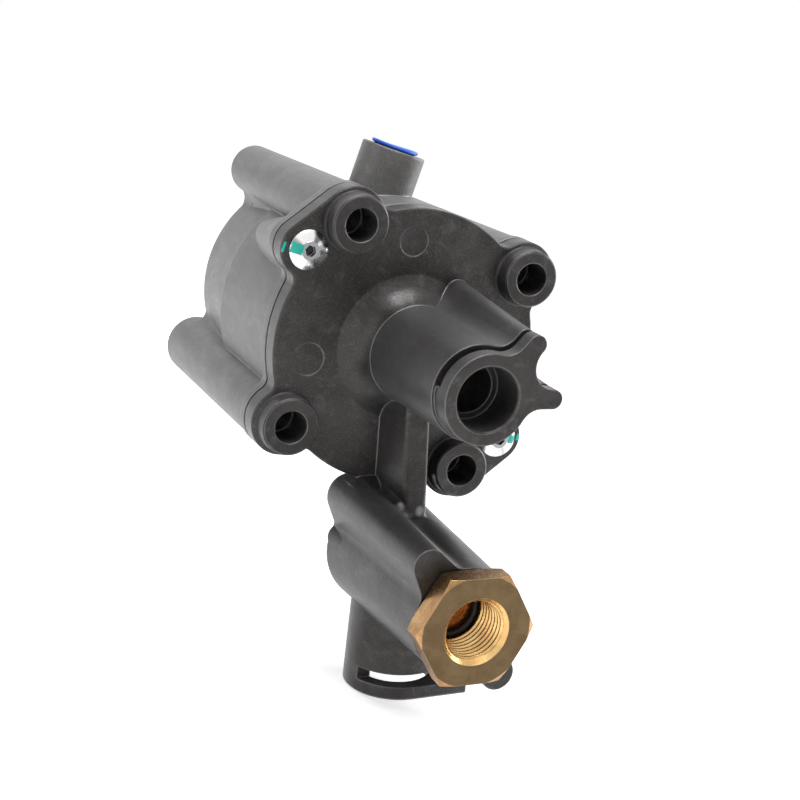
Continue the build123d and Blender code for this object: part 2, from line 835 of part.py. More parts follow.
# Brass supply adapter
with BuildPart() as supply_adapter:
    with BuildSketch(tube_plane(hex_rear_y)):
        RegularPolygon(hex_corner_r, 6, rotation=hex_turn)
    extrude(amount=hex_height)
    # Chamfer of the hexagon's corners
    with BuildSketch(tube_profile):
        with BuildLine():
            cut_r = hex_corner_r + overlap
            cut_height = hex_chamfer_height * (hex_chamfer + overlap) / hex_chamfer
            Polyline(
                (hex_corner_r - hex_chamfer, hex_front_y),
                (cut_r, hex_front_y),
                (cut_r, hex_front_y + cut_height),
                close=True,
            )
        make_face()
    revolve(axis=tube_axis, mode=Mode.SUBTRACT)
    with BuildSketch(tube_profile):
        add(band(0, adapter_spigot_d / 2 - fit, hex_rear_y, adapter_rear_y))
    revolve(axis=tube_axis)
    with BuildSketch(tube_profile):
        mouth = (adapter_mouth_d - adapter_thread_d) / 2
        with BuildLine():
            Polyline(
                (0, hex_front_y),
                (adapter_mouth_d / 2, hex_front_y),
                (adapter_thread_d / 2, hex_front_y + mouth),
                (adapter_thread_d / 2, relief_y),
                (adapter_relief_d / 2, relief_y),
                (adapter_relief_d / 2, lip_y),
                (adapter_lip_d / 2, lip_y),
                (adapter_lip_d / 2, adapter_rear_y),
                (0, adapter_rear_y),
                close=True,
            )
        make_face()
    revolve(axis=tube_axis, mode=Mode.SUBTRACT)
supply_adapter.part.label = "supply_adapter"


def ring_node(name, profile, axis, inner_r, outer_r, start, end):
    """Plain ring about an axis."""
    with BuildPart() as ring:
        with BuildSketch(profile):
            add(band(inner_r, outer_r, start, end))
        revolve(axis=axis)
    ring.part.label = name
    return ring


def seal_ring(name, profile, axis, middle_r, wire_d, places):
    """Round seal rings of one size, one at each place along the axis."""
    with BuildPart() as seals:
        for place in places:
            with BuildSketch(profile):
                with Locations((middle_r, place)):
                    Circle(wire_d / 2)
            revolve(axis=axis)
    seals.part.label = name
    return seals


adapter_seal = ring_node(
    "adapter_seal", tube_profile, tube_axis, adapter_spigot_d / 2, adapter_seal_r, hex_rear_y, tube_front_y
)
port_seal = seal_ring(
    "port_seal", tube_profile, tube_axis,
    (adapter_relief_d - port_seal_wire) / 2 - fit, port_seal_wire, [filter_front_y - port_seal_wire / 2],
)
inlet_filter = ring_node(
    "inlet_filter", tube_profile, tube_axis, 0, adapter_relief_d / 2 - fit, filter_front_y, lip_y
)
valve_seat = ring_node(
    "valve_seat", tube_profile, tube_axis, seat_bore_d / 2, chamber_d / 2 - fit, chamber_front_y, seat_rear_y
)

# Poppet of the non-return valve, guided by four wings
with BuildPart() as inlet_poppet:
    with BuildSketch(tube_profile):
        add(band(0, poppet_d / 2, poppet_y, poppet_back_y))
        add(band(0, poppet_spring_d / 2 - poppet_spring_wire, poppet_back_y, poppet_back_y + poppet_pilot))
    revolve(axis=tube_axis)
    with BuildSketch(tube_plane(poppet_y)):
        for turn in (0, 90):
            Rectangle(chamber_d - 4 * running_fit, poppet_wing, rotation=turn)
        Circle(poppet_spring_d / 2 + poppet_spring_wire, mode=Mode.SUBTRACT)
    extrude(amount=-poppet_head - poppet_wing_length)
inlet_poppet.part.label = "inlet_poppet"
poppet_face_ring = ring_node(
    "poppet_seal", tube_profile, tube_axis, 0, poppet_d / 2, poppet_y - poppet_face, poppet_y
)
poppet_spring = spring(
    "poppet_spring", tube_axis, poppet_back_y, chamber_rear_y,
    poppet_spring_d, poppet_spring_wire, poppet_spring_turns,
)

# Exhaust valve in the collar
exhaust_disc = ring_node(
    "exhaust_disc", collar_profile, collar_axis, 0, disc_r, collar_seat + free_gap, disc_under
)
exhaust_spring = spring(
    "exhaust_spring", collar_axis, disc_under, retainer_at,
    exhaust_spring_d, exhaust_spring_wire, exhaust_spring_turns,
)
with BuildPart() as exhaust_retainer:
    with BuildSketch(arm_section(arm_reach + retainer_at)):
        with Locations((0, -collar_y)):
            Circle(exhaust_bore_d / 2 + retainer_groove - fit)
            with PolarLocations(exhaust_bore_d / 2 - retainer_hole_inset, retainer_holes):
                Circle(retainer_hole_d / 2, mode=Mode.SUBTRACT)
    extrude(amount=retainer_t)
exhaust_retainer.part.label = "exhaust_retainer"

# Valve sleeve and its seals
with BuildPart() as valve_sleeve:
    with BuildSketch(main_profile):
        add(band(sleeve_bore_d / 2, sleeve_d / 2 - fit, sleeve_front_y, sleeve_rear_y))
        for place in sleeve_seal_places:
            with Locations(((sleeve_d - sleeve_ring_wire) / 2, place)):
                Rectangle(sleeve_ring_wire, sleeve_ring_groove, mode=Mode.SUBTRACT)
    revolve(axis=main_axis)
    for place in (supply_passage_y, exhaust_passage_y):
        with BuildSketch(Plane.XY.offset(-sleeve_d)):
            with Locations((0, place)):
                Circle(sleeve_port_d / 2)
        extrude(amount=2 * sleeve_d, mode=Mode.SUBTRACT)
valve_sleeve.part.label = "valve_sleeve"
sleeve_seals = seal_ring(
    "sleeve_seals", main_profile, main_axis,
    (sleeve_d - sleeve_ring_wire) / 2 - fit, sleeve_ring_wire - 2 * fit, sleeve_seal_places,
)
sleeve_retainer = ring_node(
    "sleeve_retaining_ring", main_profile, main_axis,
    sleeve_d / 2 - ring_inset, sleeve_d / 2 + ring_groove - fit, ring_y, ring_y + ring_t,
)

# Spool with the stud that carries the piston
with BuildPart() as valve_spool:
    with BuildSketch(main_profile):
        add(band(0, spool_d / 2, spool_front_y, piston_front_y))
        with Locations((spool_d / 2, spool_waist_y)):
            Rectangle(spool_d - spool_waist_d, spool_waist, mode=Mode.SUBTRACT)
        add(band(0, stud_d / 2 - fit, piston_front_y, piston_rear_y + stud_thread))
    revolve(axis=main_axis)
    with BuildSketch(face_plane(spool_front_y)):
        Circle(spool_hole_d / 2)
    extrude(amount=spool_front_y - spool_waist_y, mode=Mode.SUBTRACT)
    with BuildSketch(Plane.XY.offset(-spool_d)):
        with Locations((0, spool_waist_y)):
            Circle(spool_hole_d / 2)
    extrude(amount=2 * spool_d, mode=Mode.SUBTRACT)
valve_spool.part.label = "valve_spool"

# Piston, with grooves for its seal and guide band and a pocket for the spring
with BuildPart() as piston:
    with BuildSketch(main_profile):
        add(band(stud_d / 2, piston_r, piston_front_y, piston_rear_y))
        for place, width, depth in (
            (piston_seal_y, piston_seal_width, piston_seal_depth),
            (guide_band_y, guide_band_width, guide_band_depth),
        ):
            with Locations((piston_r - depth / 2, place)):
                Rectangle(depth, width, mode=Mode.SUBTRACT)
        with BuildLine():
            inner = return_spring_d / 2 - return_spring_wire
            outer = return_spring_d / 2 + return_spring_wire
            Polyline(
                (inner, piston_rear_y),
                (inner, spring_seat_y),
                (outer, spring_seat_y),
                (outer, piston_rear_y),
                close=True,
            )
        make_face(mode=Mode.SUBTRACT)
    revolve(axis=main_axis)
piston.part.label = "piston"
piston_seal = ring_node(
    "piston_seal", main_profile, main_axis, piston_r - piston_seal_depth + fit, cylinder_d / 2 - fit,
    piston_seal_y - piston_seal_width / 2 + fit, piston_seal_y + piston_seal_width / 2 - fit,
)
guide_band = ring_node(
    "piston_guide_band", main_profile, main_axis,
    piston_r - guide_band_depth + fit, cylinder_d / 2 - running_fit,
    guide_band_y - guide_band_width / 2 + fit, guide_band_y + guide_band_width / 2 - fit,
)

# Plunger that reaches out of the back, its bush and its seal
with BuildPart() as plunger:
    with BuildSketch(main_profile):
        with BuildLine():
            Polyline(
                (0, piston_rear_y),
                (plunger_d / 2, piston_rear_y),
                (plunger_d / 2, plunger_rear_y - plunger_edge),
                (plunger_d / 2 - plunger_edge, plunger_rear_y),
                (0, plunger_rear_y),
                close=True,
            )
        make_face()
    revolve(axis=main_axis)
    with BuildSketch(face_plane(piston_rear_y)):
        Circle(stud_d / 2)
    extrude(amount=-stud_thread - overlap, mode=Mode.SUBTRACT)
plunger.part.label = "plunger"
plunger_bush = ring_node(
    "plunger_bush", main_profile, main_axis, plunger_d / 2 + running_fit, bush_d / 2 - fit,
    cylinder_rear_y, cylinder_rear_y + bush_length,
)
plunger_seal = ring_node(
    "plunger_seal", main_profile, main_axis, plunger_d / 2 + fit, bush_d / 2 - fit,
    cylinder_rear_y + bush_length, recess_y - ring_t,
)
seal_cap = ring_node(
    "plunger_seal_cap", main_profile, main_axis, plunger_d / 2 + free_gap, bush_d / 2 - fit,
    recess_y - ring_t, recess_y,
)
return_spring = spring(
    "return_spring", main_axis, spring_seat_y, cylinder_rear_y,
    return_spring_d, return_spring_wire, return_spring_turns,
)

nodes = [
    rear_housing, front_cover, cover_gasket, cover_screws, port_plug, supply_adapter, adapter_seal,
    port_seal, inlet_filter, valve_seat, inlet_poppet, poppet_face_ring, poppet_spring, exhaust_disc,
    exhaust_spring, exhaust_retainer, valve_sleeve, sleeve_seals, sleeve_retainer, valve_spool,
    piston, piston_seal, guide_band, return_spring, plunger, plunger_bush, plunger_seal, seal_cap,
]
os.makedirs("parts", exist_ok=True)
for node in nodes:
    export_step(node.part, f"parts/{node.part.label}.step")
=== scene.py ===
import json
import math
import random

import bmesh
import bpy
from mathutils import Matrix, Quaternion, Vector


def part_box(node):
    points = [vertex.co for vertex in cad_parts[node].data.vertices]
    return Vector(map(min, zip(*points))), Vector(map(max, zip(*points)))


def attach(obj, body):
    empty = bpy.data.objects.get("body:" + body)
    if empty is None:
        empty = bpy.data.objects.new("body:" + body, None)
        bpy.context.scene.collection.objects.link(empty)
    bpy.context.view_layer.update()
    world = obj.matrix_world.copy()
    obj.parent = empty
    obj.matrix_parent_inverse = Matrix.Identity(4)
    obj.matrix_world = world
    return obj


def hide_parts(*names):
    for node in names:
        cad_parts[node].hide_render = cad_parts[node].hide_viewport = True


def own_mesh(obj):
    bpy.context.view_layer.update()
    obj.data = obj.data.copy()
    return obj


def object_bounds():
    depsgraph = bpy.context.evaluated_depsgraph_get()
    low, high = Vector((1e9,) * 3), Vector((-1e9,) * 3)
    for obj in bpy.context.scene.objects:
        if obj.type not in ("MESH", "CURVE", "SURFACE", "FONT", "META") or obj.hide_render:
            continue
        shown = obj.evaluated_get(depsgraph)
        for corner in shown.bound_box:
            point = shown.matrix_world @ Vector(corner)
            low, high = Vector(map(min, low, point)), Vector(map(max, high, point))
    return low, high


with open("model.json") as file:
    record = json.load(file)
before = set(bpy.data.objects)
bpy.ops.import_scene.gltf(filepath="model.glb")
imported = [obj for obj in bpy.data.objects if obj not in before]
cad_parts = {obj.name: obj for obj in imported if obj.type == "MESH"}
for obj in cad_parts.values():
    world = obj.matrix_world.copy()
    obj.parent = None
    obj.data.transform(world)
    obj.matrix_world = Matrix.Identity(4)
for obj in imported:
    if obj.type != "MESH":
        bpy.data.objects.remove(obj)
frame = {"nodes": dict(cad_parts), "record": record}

MM = 0.001
cad_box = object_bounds()
random.seed(7)


# Places that more than one section uses, in mm, and the paint's colour

TUBE_X, TUBE_Z = 15.977, -53.255
HEX_FRONT_Y, HEX_REAR_Y = -46.9, -40.9
LUG_X, LUG_Z = 34.3, 16.4
TEAL = (0.003, 0.52, 0.41)


# Camera, fitted to the photograph

camera_at = Vector((-202.83, -378.74, 53.64)) * MM
camera_aim = Vector((-0.17, -2.04, -12.21)) * MM
camera_roll = math.radians(19.743)
camera = bpy.data.cameras.new("camera")
camera.lens = 77.94
camera.sensor_width = 36
camera.clip_start = 0.01
camera_object = bpy.data.objects.new("camera", camera)
bpy.context.scene.collection.objects.link(camera_object)
camera_object.location = camera_at
look = (camera_aim - camera_at).to_track_quat("-Z", "Y")
camera_object.rotation_mode = "QUATERNION"
camera_object.rotation_quaternion = look @ Quaternion((0, 0, 1), camera_roll)
bpy.context.scene.camera = camera_object
bpy.context.scene.view_settings.view_transform = "Standard"


# Node helpers

def seen_directly(tree):
    """1 for rays from the camera, off a gloss or through glass, and 0 for the rest."""
    rays = tree.nodes.new("ShaderNodeLightPath")
    seen = rays.outputs["Is Camera Ray"]
    for name in ("Is Glossy Ray", "Is Transmission Ray"):
        larger = tree.nodes.new("ShaderNodeMath")
        larger.operation = "MAXIMUM"
        tree.links.new(seen, larger.inputs[0])
        tree.links.new(rays.outputs[name], larger.inputs[1])
        seen = larger.outputs[0]
    return seen


class Shader:
    """A principled material with short ways to add nodes to it."""

    def __init__(self, name, base, metallic, roughness):
        self.material = bpy.data.materials.new(name)
        self.material.use_nodes = True
        self.tree = self.material.node_tree
        self.bsdf = self.tree.nodes["Principled BSDF"]
        self.bsdf.inputs["Base Color"].default_value = (*base, 1)
        self.bsdf.inputs["Metallic"].default_value = metallic
        self.bsdf.inputs["Roughness"].default_value = roughness
        self.place = self.node("ShaderNodeTexCoord").outputs["Object"]

    def node(self, kind, **settings):
        made = self.tree.nodes.new(kind)
        for key, value in settings.items():
            setattr(made, key, value)
        return made

    def plug(self, socket, value):
        """Link a socket's value, or set a plain one."""
        if isinstance(value, bpy.types.NodeSocket):
            self.tree.links.new(value, socket)
        else:
            socket.default_value = value

    def math(self, operation, *values):
        made = self.node("ShaderNodeMath", operation=operation)
        for socket, value in zip(made.inputs, values):
            self.plug(socket, value)
        return made.outputs[0]

    def length(self, a, b):
        """Length of the arrow (a, b)."""
        squares = self.math("MULTIPLY", a, a), self.math("MULTIPLY", b, b)
        return self.math("SQRT", self.math("ADD", *squares))

    def moved(self, at, stretch):
        made = self.node("ShaderNodeMapping")
        made.vector_type = "TEXTURE"
        made.inputs["Location"].default_value = at
        made.inputs["Scale"].default_value = stretch
        self.plug(made.inputs["Vector"], self.place)
        return made.outputs[0]

    def noise(self, size_mm, detail, rough, stretch=(1, 1, 1), at=(0, 0, 0), distort=0.0):
        made = self.node("ShaderNodeTexNoise")
        made.inputs["Scale"].default_value = 1 / (size_mm * MM)
        made.inputs["Detail"].default_value = detail
        made.inputs["Roughness"].default_value = rough
        made.inputs["Distortion"].default_value = distort
        self.plug(made.inputs["Vector"], self.moved(at, stretch))
        return made.outputs[0]

    def ramp(self, value, low, high, to_low=0.0, to_high=1.0):
        """Smooth step of the value from low to high, which may fall as well as rise."""
        made = self.node("ShaderNodeMapRange", interpolation_type="SMOOTHSTEP")
        limits = {"From Min": low, "From Max": high, "To Min": to_low, "To Max": to_high}
        for name, number in limits.items():
            self.plug(made.inputs[name], number)
        self.plug(made.inputs["Value"], value)
        return made.outputs[0]

    def mix(self, share, first, second):
        """Colour between two, each a socket or a plain (r, g, b)."""
        made = self.node("ShaderNodeMix", data_type="RGBA")
        self.plug(made.inputs[0], share)
        for socket, value in ((made.inputs[6], first), (made.inputs[7], second)):
            self.plug(socket, value if isinstance(value, bpy.types.NodeSocket) else (*value, 1))
        return made.outputs[2]

    def xyz(self):
        made = self.node("ShaderNodeSeparateXYZ")
        self.plug(made.inputs[0], self.place)
        return made.outputs

    def edges(self, radius_mm):
        """Share from 0 on flat ground to 1 at a sharp edge, and the rounded normal."""
        bevel = self.node("ShaderNodeBevel", samples=6)
        bevel.inputs["Radius"].default_value = radius_mm * MM
        geometry = self.node("ShaderNodeNewGeometry")
        dot = self.node("ShaderNodeVectorMath", operation="DOT_PRODUCT")
        self.plug(dot.inputs[0], bevel.outputs[0])
        self.plug(dot.inputs[1], geometry.outputs["Normal"])
        return self.ramp(dot.outputs["Value"], 0.998, 0.86), bevel.outputs[0]

    def bump(self, *layers, normal):
        """Layers of (height, depth in mm), one on another."""
        for height, depth in layers:
            made = self.node("ShaderNodeBump")
            made.inputs["Strength"].default_value = 1.0
            made.inputs["Distance"].default_value = depth * MM
            self.plug(made.inputs["Height"], height)
            self.plug(made.inputs["Normal"], normal)
            normal = made.outputs[0]
        self.plug(self.bsdf.inputs["Normal"], normal)

    def color(self, value):
        self.plug(self.bsdf.inputs["Base Color"], value)

    def roughness(self, value):
        self.plug(self.bsdf.inputs["Roughness"], value)


def scaled(color, factor):
    return tuple(c * factor for c in color)


# Materials

def paint_share(s, marks):
    """Share of a brushed paint mark: boxes of centre and half size, with rough ends."""
    total = None
    x, _, z = s.xyz()
    ragged = s.math("MULTIPLY", s.noise(0.7, 3, 0.6), 0.7)
    for (cx, cz), (half_x, half_z) in marks:
        dx = s.math("DIVIDE", s.math("ABSOLUTE", s.math("SUBTRACT", x, cx * MM)), half_x * MM)
        dz = s.math("DIVIDE", s.math("ABSOLUTE", s.math("SUBTRACT", z, cz * MM)), half_z * MM)
        far = s.math("ADD", s.math("MAXIMUM", dx, dz), ragged)
        share = s.ramp(far, 1.3, 1.42, 1, 0)
        total = share if total is None else s.math("MAXIMUM", total, share)
    return total


def spot_share(s, spots, core=0.7, rim=1.1):
    """Share of oval spots: each is a centre and its half sizes along Z and across it, in mm."""
    total = None
    for at, (long, wide) in spots:
        far = s.node("ShaderNodeVectorMath", operation="LENGTH")
        s.plug(far.inputs[0], s.moved(scaled(at, MM), (wide * MM, wide * MM, long * MM)))
        share = s.ramp(far.outputs["Value"], core, rim, 1, 0)
        total = share if total is None else s.math("MAXIMUM", total, share)
    return total


def casting(name, shade, light, dark, gloss, shine, paint=(), pit_shade=(), painted_highlights=()):
    """Die-cast aluminium: flow marks, stains, fine grain, edges lighter as wear and painted highlight, a
    painted sheen at grazing angles, painted highlights on given spots and painted shade in given pits.
    """
    s = Shader(name, shade, 0.4, gloss)
    s.bsdf.inputs["Specular IOR Level"].default_value = shine
    blotch = s.noise(13, 4, 0.62, distort=0.7)
    flow = s.noise(3.5, 5, 0.68, stretch=(1, 2.4, 1), at=(0.02, 0.01, 0), distort=0.25)
    cloud = s.noise(28, 2, 0.5, at=(0.3, 0.1, 0.2))
    grain = s.noise(0.5, 3, 0.6)
    speck = s.noise(0.17, 2, 0.5)
    edge, rounded = s.edges(0.6)
    tone = s.mix(s.ramp(blotch, 0.32, 0.68), dark, shade)
    tone = s.mix(s.ramp(flow, 0.5, 0.8, 0, 0.5), tone, light)
    tone = s.mix(s.ramp(cloud, 0.35, 0.65, 0, 0.35), tone, dark)
    tone = s.mix(s.ramp(grain, 0.4, 0.72, 0.0, 0.4), tone, dark)
    tone = s.mix(s.ramp(speck, 0.56, 0.72, 0.0, 0.55), tone, light)
    # Edges lighter: partly wear, partly a painted highlight.
    tone = s.mix(s.math("MULTIPLY", edge, 0.9), tone, scaled(light, 1.35))
    # Painted sheen: lighter where the surface turns away from the view.
    grazing_sheen = s.node("ShaderNodeLayerWeight")
    grazing_sheen.inputs["Blend"].default_value = 0.5
    tone = s.mix(s.ramp(grazing_sheen.outputs["Facing"], 0.25, 0.85, 0, 0.5), tone, light)
    # Painted highlights: given spots lightened.
    if painted_highlights:
        tone = s.mix(spot_share(s, painted_highlights, 0.2, 1.0), tone, scaled(light, 2))
    # Painted shade: dark spots in place of pits.
    if pit_shade:
        tone = s.mix(spot_share(s, pit_shade), tone, (0.02, 0.02, 0.022))
    if paint:
        tone = s.mix(paint_share(s, paint), tone, TEAL)
    s.color(tone)
    dulled = s.ramp(flow, 0.2, 0.8, gloss + 0.06, gloss - 0.05)
    s.roughness(s.math("ADD", dulled, s.ramp(grain, 0.3, 0.7, 0, 0.06)))
    s.bump((blotch, 0.1), (flow, 0.05), (grain, 0.05), (speck, 0.02), normal=rounded)
    return s.material


def metal(name, shade, rough, grain_mm=0.3, depth=0.01):
    """Bare metal, a little darker in patches, with a fine grain and softened edges lightened as a
    painted highlight.
    """
    s = Shader(name, shade, 1.0, rough)
    wear = s.noise(3, 4, 0.6)
    fine = s.noise(grain_mm, 3, 0.6)
    edge, rounded = s.edges(0.2)
    tone = s.mix(s.ramp(wear, 0.35, 0.7), scaled(shade, 0.75), shade)
    # Edges lighter: a painted highlight.
    tone = s.mix(s.math("MULTIPLY", edge, 0.4), tone, tuple(min(c * 1.25, 1) for c in shade))
    s.color(tone)
    s.roughness(s.ramp(fine, 0.3, 0.7, rough - 0.05, rough + 0.08))
    s.bump((fine, depth), normal=rounded)
    return s.material


def screw_head():
    """Turned steel flange with light and dark rays of painted reflection, a grey button and a socket
    darkened as painted shade.
    """
    reflection_fan_count, reflection_fan_size = 1.3, 0.75
    s = Shader("screw_steel", (0.7, 0.7, 0.7), 1.0, 0.2)
    x, _, z = s.xyz()
    side = s.math("SIGN", x)
    dx = s.math("SUBTRACT", x, s.math("MULTIPLY", side, LUG_X * MM))
    dz = s.math("ADD", z, s.math("MULTIPLY", side, LUG_Z * MM))
    out = s.length(dx, dz)
    turn = s.math("ARCTAN2", dz, dx)
    # Painted reflection: light and dark rays around the screw head.
    reflection_fan = s.node("ShaderNodeTexNoise", noise_dimensions="2D")
    place = s.node("ShaderNodeCombineXYZ")
    s.plug(place.inputs[0], s.math("MULTIPLY", s.math("COSINE", turn), reflection_fan_count))
    s.plug(place.inputs[1], s.math("MULTIPLY", s.math("SINE", turn), reflection_fan_count))
    s.plug(reflection_fan.inputs["Vector"], place.outputs[0])
    s.plug(reflection_fan.inputs["Scale"], reflection_fan_size)
    s.plug(reflection_fan.inputs["Detail"], 2.0)
    fine = s.noise(0.25, 3, 0.6)
    edge, rounded = s.edges(0.12)
    button = s.ramp(out, 2.2 * MM, 2.5 * MM, 1, 0)
    socket = s.ramp(out, 1.15 * MM, 1.35 * MM, 1, 0)
    tone = s.mix(s.ramp(reflection_fan.outputs[0], 0.36, 0.6), (0.2, 0.2, 0.205), (0.88, 0.88, 0.86))
    tone = s.mix(button, tone, (0.3, 0.3, 0.31))
    # Painted shade: the hex socket darkened near black.
    tone = s.mix(socket, tone, (0.03, 0.03, 0.034))
    # Edges lighter: a painted highlight.
    tone = s.mix(s.math("MULTIPLY", edge, 0.7), tone, (0.9, 0.9, 0.9))
    share = paint_share(s, paint_marks)
    s.color(s.mix(share, tone, TEAL))
    s.plug(s.bsdf.inputs["Metallic"], s.math("SUBTRACT", 1.0, share))
    s.roughness(s.ramp(fine, 0.3, 0.7, 0.16, 0.3))
    s.bump((fine, 0.006), normal=rounded)
    return s.material


def plain(name, shade, rough):
    """Rubber or plastic with a fine, uneven surface."""
    s = Shader(name, shade, 0.0, rough)
    fine = s.noise(0.5, 3, 0.6)
    edge, rounded = s.edges(0.25)
    tone = s.mix(s.ramp(fine, 0.35, 0.7), scaled(shade, 0.8), shade)
    # Edges lighter: a painted highlight.
    s.color(s.mix(s.math("MULTIPLY", edge, 0.25), tone, tuple(c * 0.8 + 0.12 for c in shade)))
    s.roughness(s.ramp(fine, 0.3, 0.7, rough - 0.05, rough + 0.1))
    s.bump((fine, 0.02), normal=rounded)
    return s.material


def brass():
    """Turned brass: a face with ring marks, darkened partly as oxide and partly as painted shade,
    brighter flats, and a thread brightened partly as machining and partly as painted reflection.
    """
    ring_mm = 0.22
    s = Shader("brass", (0.6, 0.4, 0.18), 1.0, 0.3)
    x, y, z = s.xyz()
    dx = s.math("SUBTRACT", x, TUBE_X * MM)
    dz = s.math("SUBTRACT", z, TUBE_Z * MM)
    out = s.length(dx, dz)
    rings = s.node("ShaderNodeTexNoise", noise_dimensions="1D")
    s.plug(rings.inputs["W"], s.math("MULTIPLY", out, 1 / (ring_mm * MM)))
    s.plug(rings.inputs["Detail"], 3.0)
    ring = rings.outputs[0]
    tarnish = s.noise(5, 4, 0.6, distort=0.5)
    fine = s.noise(0.35, 3, 0.6)
    front = (HEX_FRONT_Y + 0.02) * MM, (HEX_FRONT_Y + 0.1) * MM
    face = s.ramp(y, *front, 1, 0)
    inner = s.math("MULTIPLY", s.ramp(out, 8.7 * MM, 8.9 * MM, 1, 0), s.ramp(y, *front))
    edge, rounded = s.edges(0.18)
    flats = s.mix(s.ramp(tarnish, 0.35, 0.7), (0.3, 0.165, 0.07), (0.52, 0.31, 0.15))
    # Painted shade, partly oxide: the front face darkened.
    dull = s.mix(s.ramp(tarnish, 0.3, 0.7), (0.085, 0.054, 0.028), (0.135, 0.092, 0.048))
    dull = s.mix(s.ramp(ring, 0.35, 0.65, 0, 0.5), dull, (0.16, 0.11, 0.058))
    # Painted reflection, partly bright machining: the bore and thread brightened.
    bright = s.mix(s.ramp(tarnish, 0.3, 0.7), (0.6, 0.36, 0.14), (0.86, 0.6, 0.26))
    tone = s.mix(inner, s.mix(face, flats, dull), bright)
    # Edges lighter: a painted highlight.
    s.color(s.mix(s.math("MULTIPLY", edge, 0.5), tone, (0.85, 0.6, 0.3)))
    s.roughness(s.math("ADD", s.ramp(fine, 0.3, 0.7, 0.24, 0.36), s.math("MULTIPLY", face, 0.08)))
    s.bump((s.math("MULTIPLY", ring, face), 0.012), (fine, 0.006), normal=rounded)
    return s.material


# Paint marks as (x, z) and half sizes; pits to darken as painted shade and spots to lighten as painted
# highlight, for spot_share

paint_marks = [
    ((-LUG_X - 3.3, LUG_Z - 0.4), (1.4, 1.3)), ((-LUG_X - 6.2, LUG_Z - 1.1), (0.3, 1.2)),
    ((LUG_X + 3.6, -LUG_Z + 0.8), (1.0, 1.0)), ((LUG_X + 6.1, -LUG_Z + 1.6), (0.4, 0.9)),
]
pit_shade = [((-26.9, 67.3, 17.5), (1.0, 0.4)), ((-31.9, 64.5, -4.0), (0.9, 0.4))]
painted_highlights = [
    ((12.9, -8.2, -24.0), (15.0, 1.0)), ((12.3, -8.6, -37.2), (1.8, 1.6)),
    ((6.7, -7.9, -37.4), (1.6, 1.8)),
]
finishes = {
    # The cover uses the housing's alloy in darker tones: painted shade.
    "cover_casting": casting(
        "cover_casting", (0.054, 0.051, 0.049), (0.175, 0.17, 0.175), (0.026, 0.024, 0.022),
        0.31, 0.4, paint_marks, painted_highlights=painted_highlights,
    ),
    "housing_casting": casting(
        "housing_casting", (0.16, 0.157, 0.155), (0.28, 0.276, 0.278), (0.095, 0.092, 0.089),
        0.42, 0.4, pit_shade=pit_shade,
    ),
    "gasket": plain("gasket", (0.02, 0.02, 0.02), 0.7),
    "screw_steel": screw_head(),
    "plug_plastic": plain("plug_plastic", (0.02, 0.15, 0.8), 0.38),
    "brass": brass(),
    "copper_mesh": metal("copper_mesh", (0.62, 0.22, 0.05), 0.45, 0.15, 0.03),
    "black_rubber": plain("black_rubber", (0.012, 0.012, 0.012), 0.45),
    "turned_aluminium": metal("turned_aluminium", (0.62, 0.62, 0.63), 0.35),
    "spring_steel": metal("spring_steel", (0.45, 0.45, 0.46), 0.35),
    "ground_steel": metal("ground_steel", (0.6, 0.6, 0.6), 0.25),
    "white_plastic": plain("white_plastic", (0.75, 0.74, 0.7), 0.45),
}


def dress(node, material):
    mesh = frame["nodes"][node].data
    for i in range(len(mesh.materials)):
        mesh.materials[i] = material
    if not mesh.materials:
        mesh.materials.append(material)


for part in frame["record"]["subparts"]:
    dress(part["node"], finishes[part["material_slot"]])


# Pieces modelled here, from sizes in mm

def piece(name, verts, faces, slot, node, sharp):
    """Closed and welded mesh that rides on the valve body, in the node's place if one is named."""
    mesh = bpy.data.meshes.new(name)
    mesh.from_pydata([Vector(v) * MM for v in verts], [], faces)
    work = bmesh.new()
    work.from_mesh(mesh)
    bmesh.ops.remove_doubles(work, verts=work.verts, dist=1e-7)
    bmesh.ops.dissolve_degenerate(work, edges=work.edges, dist=1e-7)
    bmesh.ops.recalc_face_normals(work, faces=work.faces)
    work.to_mesh(mesh)
    work.free()
    mesh.polygons.foreach_set("use_smooth", [True] * len(mesh.polygons))
    mesh.set_sharp_from_angle(angle=math.radians(sharp))
    mesh.materials.append(finishes[slot])
    made = bpy.data.objects.new(name, mesh)
    bpy.context.scene.collection.objects.link(made)
    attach(made, "valve_body")
    if node:
        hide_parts(node)
    return made


def flat(rows):
    return [point for row in rows for point in row]


def grid_faces(rows, first=0):
    """Quads between rows of equal length, whose points start at the number first."""
    faces = []
    width = len(rows[0])
    for i in range(len(rows) - 1):
        a, b = first + i * width, first + (i + 1) * width
        faces += [(a + j, a + j + 1, b + j + 1, b + j) for j in range(width - 1)]
    return faces


def end_caps(rows):
    """Faces that close both ends of a tube, whose rows end on their first point."""
    width = len(rows[0])
    last = (len(rows) - 1) * width
    return [tuple(range(width - 1)), tuple(range(last, last + width - 1))]


def on_tube(angle, r, y):
    return (TUBE_X + r * math.cos(angle), y, TUBE_Z + r * math.sin(angle))


# Brass adapter: chamfered hexagon, M16 x 1.5 thread, relief and lip

steps = 120
hex_half = 13.5
corner_angle = 15.8
face_r, rear_r = 14.0, 14.4
chamfer_slope = math.tan(math.radians(30))
mouth_r, mouth_land, crest_r, root_r = 8.6, 0.12, 7.3, 7.98
pitch, run_out = 1.5, 0.8
thread_start, thread_end = HEX_FRONT_Y + mouth_r - root_r - 0.07, -33.6
relief_r, lip_r, lip_y, spigot_r, adapter_rear_y = 7.7, 5.5, -27.3, 9.97, -24.3
start_r = mouth_r - (thread_start - HEX_FRONT_Y)


def hex_reach(angle):
    turn = (math.degrees(angle) - corner_angle) % 60 - 30
    return hex_half / math.cos(math.radians(turn))


